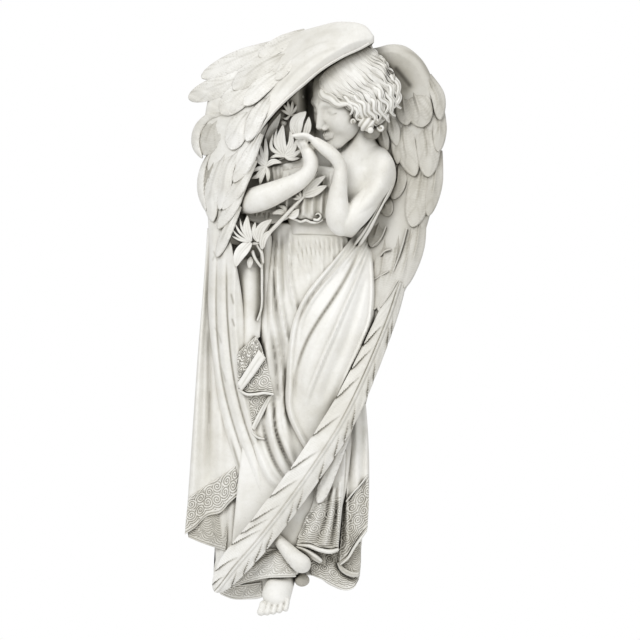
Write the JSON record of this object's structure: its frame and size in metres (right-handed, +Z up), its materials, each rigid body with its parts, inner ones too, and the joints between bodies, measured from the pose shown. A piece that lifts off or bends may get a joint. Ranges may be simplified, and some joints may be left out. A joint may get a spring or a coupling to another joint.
{
  "type": "angel wall frieze",
  "caption": "Cast wall relief of a standing winged figure with folded arms, laurel and draped robes; flat back.",
  "frame": {"origin": "middle of the flat back, in the plane of the wall", "axes": "+Z up, -Y out from the wall towards the viewer, +X to the viewer's right"},
  "size_m": [0.2586, 0.0873, 0.5928],
  "materials": {
    "antique_stone": "matt cast stone, off-white with grey worked into the hollows"
  },
  "bodies": {
    "root": {"angel_frieze": "antique_stone"}
  },
  "joints": []
}
